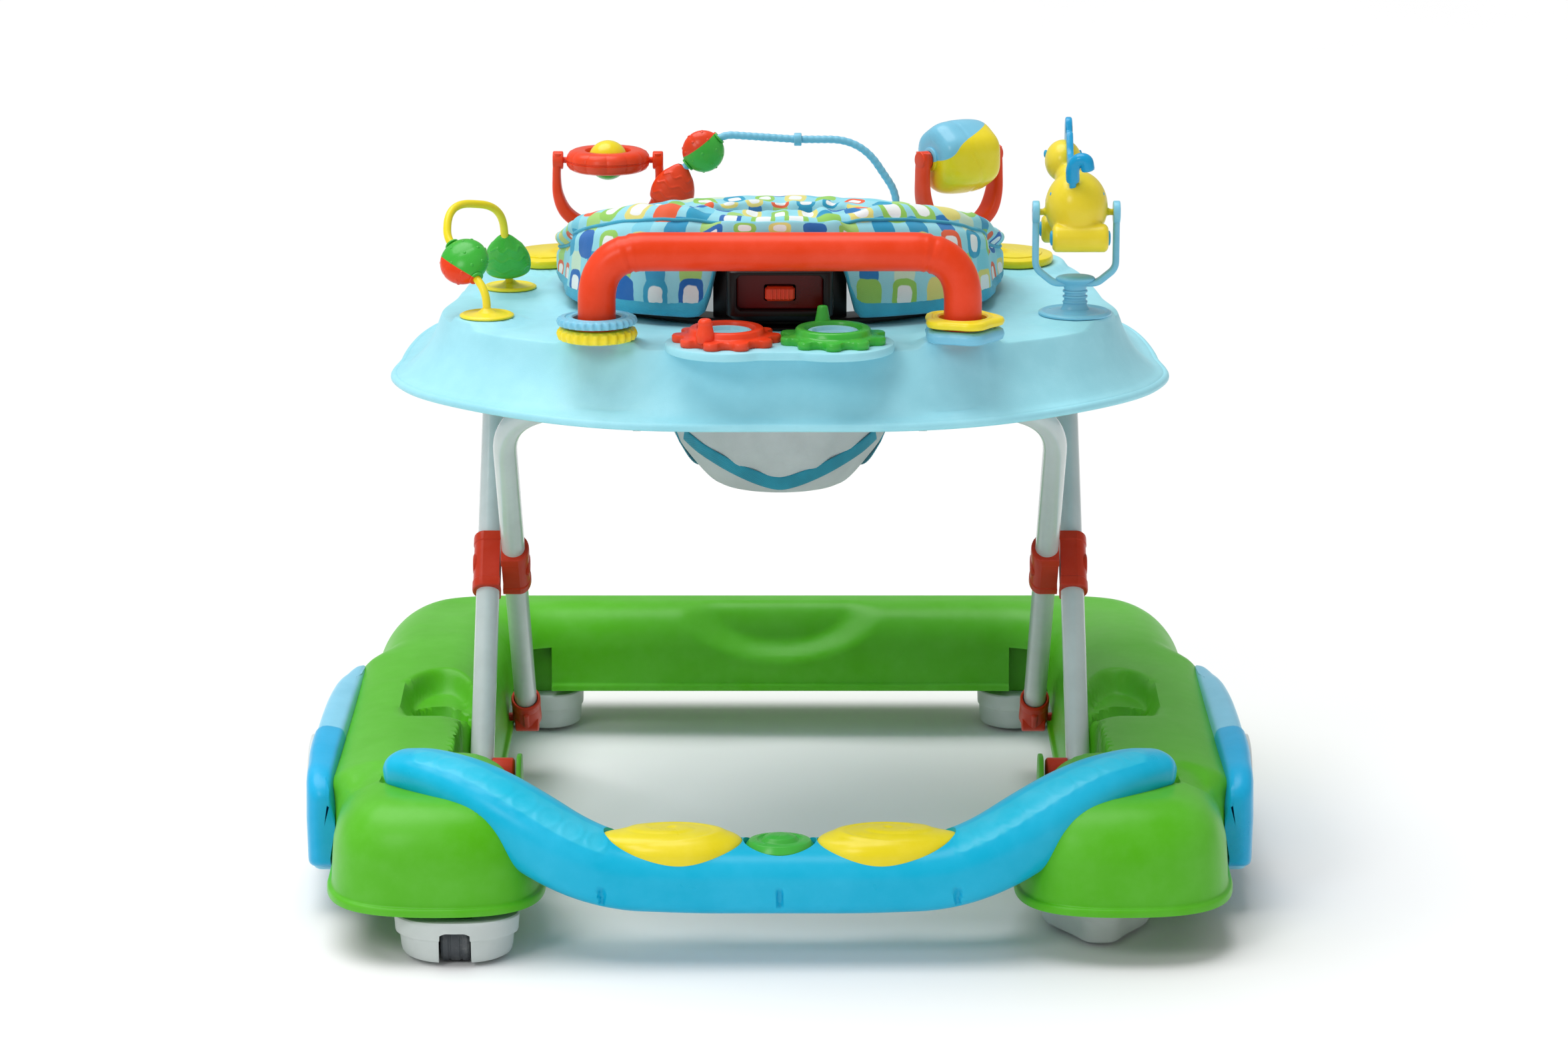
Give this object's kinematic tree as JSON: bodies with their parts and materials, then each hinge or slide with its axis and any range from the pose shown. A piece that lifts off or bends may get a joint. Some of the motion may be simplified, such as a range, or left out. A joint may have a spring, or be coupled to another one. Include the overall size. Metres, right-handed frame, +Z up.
{
  "type": "baby walker",
  "caption": "Baby walker: moulded base on swivel casters, crossed folding leg tubes and a play tray with a padded seat, handle and turning toys.",
  "frame": {"origin": "on the floor, under the centre of the bounding box", "axes": "+Z up, +Y away from the push handle and the footrest bar, +X to the right as seen from the handle end"},
  "size_m": [0.706, 0.7084, 0.567],
  "materials": {
    "base_green": "semi-gloss moulded plastic",
    "toy_green": "gloss moulded plastic",
    "bar_blue": "semi-gloss moulded plastic",
    "tray_sky": "satin moulded plastic",
    "panel_blue": "semi-gloss moulded plastic",
    "toy_pale_blue": "gloss moulded plastic",
    "caster_grey": "satin moulded plastic",
    "roller_dark": "dark moulded tread",
    "red_plastic": "gloss moulded plastic",
    "yellow_plastic": "gloss moulded plastic",
    "black_plastic": "dark gloss plastic",
    "tube_paint": "smooth pale powder coat",
    "seat_print": "woven polyester printed with soft squares",
    "sling_cloth": "plain woven polyester"
  },
  "bodies": {
    "base": {"base_shell": "base_green", "side_panel_left": "panel_blue", "side_panel_right": "panel_blue", "side_hub_left": "caster_grey", "side_hub_right": "caster_grey", "footrest_bar": "bar_blue"},
    "music_pad_left": {"music_pad_left": "yellow_plastic"},
    "music_pad_right": {"music_pad_right": "yellow_plastic"},
    "music_button": {"music_button": "toy_green"},
    "leg_outer": {"leg_tube_outer": "tube_paint", "near_foot_left": "red_plastic", "near_foot_right": "red_plastic", "outer_collar_left": "red_plastic", "outer_collar_right": "red_plastic"},
    "leg_inner": {"leg_tube_inner": "tube_paint", "far_foot_left": "red_plastic", "far_foot_right": "red_plastic", "inner_collar_left": "red_plastic", "inner_collar_right": "red_plastic"},
    "tray": {"tray_shell": "tray_sky", "tube_rack_near": "caster_grey", "tube_rack_far": "caster_grey", "corner_plate_left": "yellow_plastic", "corner_plate_right": "yellow_plastic", "seat_ring": "caster_grey", "seat_pad": "seat_print", "seat_sling": "sling_cloth", "lock_housing": "black_plastic", "push_handle": "red_plastic", "bead_loop": "yellow_plastic", "spinner_fork": "red_plastic", "wire_arch": "toy_pale_blue", "barrel_fork": "red_plastic", "dino_yoke": "toy_pale_blue"},
    "dino": {"dino_body": "yellow_plastic", "dino_crest": "panel_blue"},
    "lock_button": {"lock_button": "red_plastic"},
    "ring_left_lower": {"ring_left_lower": "yellow_plastic"},
    "ring_left_upper": {"ring_left_upper": "toy_pale_blue"},
    "ring_right_lower": {"ring_right_lower": "toy_pale_blue"},
    "ring_right_upper": {"ring_right_upper": "yellow_plastic"},
    "gear_red": {"gear_red": "red_plastic"},
    "gear_green": {"gear_green": "toy_green"},
    "bead_round": {"bead_round": "toy_green"},
    "bead_cone": {"bead_cone": "toy_green"},
    "spinner_disc": {"spinner_disc": "red_plastic"},
    "spinner_ball": {"spinner_ball": "yellow_plastic"},
    "arch_cone": {"arch_cone": "red_plastic"},
    "arch_bead": {"arch_bead": "toy_green"},
    "barrel": {"barrel": "yellow_plastic"},
    "caster_near_left": {"caster_pod_near_left": "caster_grey"},
    "roller_near_left": {"caster_roller_near_left": "roller_dark"},
    "caster_near_right": {"caster_pod_near_right": "caster_grey"},
    "roller_near_right": {"caster_roller_near_right": "roller_dark"},
    "caster_far_left": {"caster_pod_far_left": "caster_grey"},
    "roller_far_left": {"caster_roller_far_left": "roller_dark"},
    "caster_far_right": {"caster_pod_far_right": "caster_grey"},
    "roller_far_right": {"caster_roller_far_right": "roller_dark"}
  },
  "joints": [
    {"name": "frame_fold", "type": "hinge", "parent": "base", "child": "leg_outer", "pos_m": [0, -0.161, 0.046], "axis": [-1, 0, 0], "range_deg": [0, 24]},
    {"name": "leg_cross", "type": "hinge", "parent": "leg_outer", "child": "leg_inner", "pos_m": [0, -0.008, 0.211], "axis": [1, 0, 0], "range_deg": [0, 48]},
    {"name": "tray_level", "type": "hinge", "parent": "leg_inner", "child": "tray", "pos_m": [0, -0.15265, 0.367], "axis": [-1, 0, 0], "range_deg": [0, 24]},
    {"name": "swivel_near_left", "type": "hinge", "parent": "base", "child": "caster_near_left", "pos_m": [-0.232, -0.288, 0.05], "axis": [0, 0, 1], "continuous": true},
    {"name": "roll_near_left", "type": "hinge", "parent": "caster_near_left", "child": "roller_near_left", "pos_m": [-0.232, -0.332, 0.01674], "axis": [1, 0, 0], "continuous": true},
    {"name": "swivel_near_right", "type": "hinge", "parent": "base", "child": "caster_near_right", "pos_m": [0.232, -0.288, 0.05], "axis": [0, 0, 1], "continuous": true},
    {"name": "roll_near_right", "type": "hinge", "parent": "caster_near_right", "child": "roller_near_right", "pos_m": [0.232, -0.244, 0.01674], "axis": [-1, 0, 0], "continuous": true},
    {"name": "swivel_far_left", "type": "hinge", "parent": "base", "child": "caster_far_left", "pos_m": [-0.232, 0.288, 0.05], "axis": [0, 0, 1], "continuous": true},
    {"name": "roll_far_left", "type": "hinge", "parent": "caster_far_left", "child": "roller_far_left", "pos_m": [-0.18931, 0.29864, 0.01674], "axis": [-0.2419, 0.9703, 0], "continuous": true},
    {"name": "swivel_far_right", "type": "hinge", "parent": "base", "child": "caster_far_right", "pos_m": [0.232, 0.288, 0.05], "axis": [0, 0, 1], "continuous": true},
    {"name": "roll_far_right", "type": "hinge", "parent": "caster_far_right", "child": "roller_far_right", "pos_m": [0.18896, 0.29715, 0.01674], "axis": [-0.2079, -0.9781, 0], "continuous": true},
    {"name": "music_pad_left_press", "type": "slide", "parent": "base", "child": "music_pad_left", "axis": [0, 0, -1], "range_m": [0, 0.003], "stiffness_N_per_m": 600, "springref_m": -0.002},
    {"name": "music_pad_right_press", "type": "slide", "parent": "base", "child": "music_pad_right", "axis": [0, 0, -1], "range_m": [0, 0.003], "stiffness_N_per_m": 600, "springref_m": -0.002},
    {"name": "music_button_press", "type": "slide", "parent": "base", "child": "music_button", "axis": [0, 0, -1], "range_m": [0, 0.002], "stiffness_N_per_m": 600, "springref_m": -0.002},
    {"name": "lock_button_press", "type": "slide", "parent": "tray", "child": "lock_button", "axis": [0, 1, 0], "range_m": [0, 0.003], "stiffness_N_per_m": 600, "springref_m": -0.002},
    {"name": "ring_left_lower_spin", "type": "hinge", "parent": "tray", "child": "ring_left_lower", "pos_m": [-0.131, -0.236, 0.44], "axis": [0, 0, 1], "continuous": true},
    {"name": "ring_left_upper_lift", "type": "slide", "parent": "tray", "child": "ring_left_upper", "axis": [0, 0, 1], "range_m": [0, 0.012]},
    {"name": "ring_right_lower_spin", "type": "hinge", "parent": "tray", "child": "ring_right_lower", "pos_m": [0.131, -0.236, 0.44], "axis": [0, 0, 1], "continuous": true},
    {"name": "ring_right_upper_lift", "type": "slide", "parent": "tray", "child": "ring_right_upper", "axis": [0, 0, 1], "range_m": [0, 0.012]},
    {"name": "gear_red_spin", "type": "hinge", "parent": "tray", "child": "gear_red", "pos_m": [-0.038, -0.25, 0.44], "axis": [0, 0, 1], "continuous": true},
    {"name": "gear_green_spin", "type": "hinge", "parent": "tray", "child": "gear_green", "pos_m": [0.038, -0.25, 0.44], "axis": [0, 0, 1], "continuous": true},
    {"name": "bead_round_slide", "type": "slide", "parent": "tray", "child": "bead_round", "axis": [-0.5195, 0.6368, 0.5698], "range_m": [-0.006, 0]},
    {"name": "bead_cone_slide", "type": "slide", "parent": "tray", "child": "bead_cone", "axis": [-0.0557, -0.3899, 0.9192], "range_m": [-0.004, 0.01]},
    {"name": "arch_cone_spin", "type": "hinge", "parent": "tray", "child": "arch_cone", "pos_m": [-0.08576, 0.184, 0.46968], "axis": [0.3328, 0, 0.943], "continuous": true},
    {"name": "arch_bead_spin", "type": "hinge", "parent": "tray", "child": "arch_bead", "pos_m": [-0.0613, 0.184, 0.5025], "axis": [0.7498, 0, 0.6616], "continuous": true},
    {"name": "spinner_disc_spin", "type": "hinge", "parent": "tray", "child": "spinner_disc", "pos_m": [-0.138, 0.205, 0.492], "axis": [1, 0, 0], "continuous": true},
    {"name": "spinner_ball_spin", "type": "hinge", "parent": "spinner_disc", "child": "spinner_ball", "pos_m": [-0.138, 0.205, 0.492], "axis": [1, 0, 0], "continuous": true},
    {"name": "barrel_roll", "type": "hinge", "parent": "tray", "child": "barrel", "pos_m": [0.143, 0.198, 0.496], "axis": [0.848, 0.5299, 0], "continuous": true},
    {"name": "dino_flip", "type": "hinge", "parent": "tray", "child": "dino", "pos_m": [0.217, -0.14, 0.51], "axis": [1, 0, 0], "range_deg": [-60, 120]}
  ],
  "couplings": [
    {"joint": "leg_cross", "follows": "frame_fold", "ratio": 2},
    {"joint": "tray_level", "follows": "frame_fold", "ratio": 1},
    {"joint": "gear_green_spin", "follows": "gear_red_spin", "ratio": -1}
  ]
}
